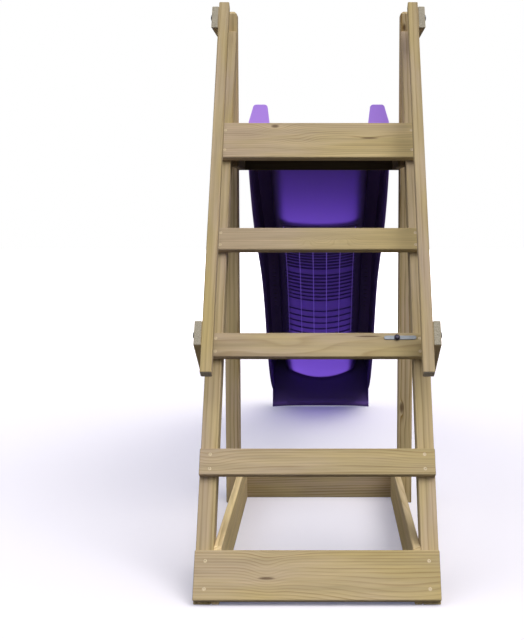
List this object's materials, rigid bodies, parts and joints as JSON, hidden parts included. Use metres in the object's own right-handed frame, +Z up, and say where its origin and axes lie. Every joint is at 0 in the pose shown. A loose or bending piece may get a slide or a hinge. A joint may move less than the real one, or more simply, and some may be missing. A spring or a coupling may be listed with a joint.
{
  "type": "garden slide",
  "caption": "Free-standing wooden garden slide: leaning ladder with handrails, small deck between two posts and a one-piece plastic wave chute ribbed underneath.",
  "frame": {"origin": "on the ground, under the middle of the object's length and width", "axes": "+Y runs the way a rider goes, from the ladder's foot to the end of the chute; +Z is up; +X is the right hand of a person climbing the ladder"},
  "size_m": [0.6516, 2.6536, 1.579],
  "materials": {
    "timber": "planed, pressure-treated softwood, unpainted and matte",
    "chute_plastic": "moulded purple plastic, slightly glossy and a little translucent",
    "zinc_steel": "zinc plated, satin",
    "dark_steel": "dark coated bolt head"
  },
  "bodies": {
    "root": {"ladder_stringer_left": "timber", "ladder_stringer_right": "timber", "kickboard": "timber", "ladder_tread_1": "timber", "ladder_tread_2": "timber", "ladder_tread_3": "timber", "platform_rear_board": "timber", "base_runner_left": "timber", "base_runner_right": "timber", "base_crossbar": "timber", "slide_post_left": "timber", "slide_post_right": "timber", "platform_bearer_left": "timber", "platform_bearer_right": "timber", "platform_front_beam": "timber", "deck_board_1": "timber", "deck_board_2": "timber", "deck_board_3": "timber", "handrail_left": "timber", "handrail_right": "timber", "top_arm_left": "timber", "top_arm_right": "timber", "lower_arm_left": "timber", "lower_arm_right": "timber", "slide_chute": "chute_plastic", "steel_strap": "zinc_steel", "steel_strap_bolt": "dark_steel", "kickboard_screw_left_lower": "zinc_steel", "kickboard_screw_left_upper": "zinc_steel", "kickboard_screw_right_lower": "zinc_steel", "kickboard_screw_right_upper": "zinc_steel", "ladder_tread_1_screw_left_lower": "zinc_steel", "ladder_tread_1_screw_left_upper": "zinc_steel", "ladder_tread_1_screw_right_lower": "zinc_steel", "ladder_tread_1_screw_right_upper": "zinc_steel", "ladder_tread_2_screw_left_lower": "zinc_steel", "ladder_tread_2_screw_left_upper": "zinc_steel", "ladder_tread_2_screw_right_lower": "zinc_steel", "ladder_tread_2_screw_right_upper": "zinc_steel", "ladder_tread_3_screw_left_lower": "zinc_steel", "ladder_tread_3_screw_left_upper": "zinc_steel", "ladder_tread_3_screw_right_lower": "zinc_steel", "ladder_tread_3_screw_right_upper": "zinc_steel", "platform_rear_board_screw_left_lower": "zinc_steel", "platform_rear_board_screw_left_upper": "zinc_steel", "platform_rear_board_screw_right_lower": "zinc_steel", "platform_rear_board_screw_right_upper": "zinc_steel", "top_arm_rail_bolt_left": "zinc_steel", "top_arm_rail_bolt_right": "zinc_steel", "top_arm_post_bolt_left": "zinc_steel", "top_arm_post_bolt_right": "zinc_steel", "lower_arm_rail_bolt_left": "zinc_steel", "lower_arm_rail_bolt_right": "zinc_steel", "lower_arm_stringer_bolt_left": "zinc_steel", "lower_arm_stringer_bolt_right": "zinc_steel", "chute_screw_left": "zinc_steel", "chute_screw_middle": "zinc_steel", "chute_screw_right": "zinc_steel"}
  },
  "joints": []
}
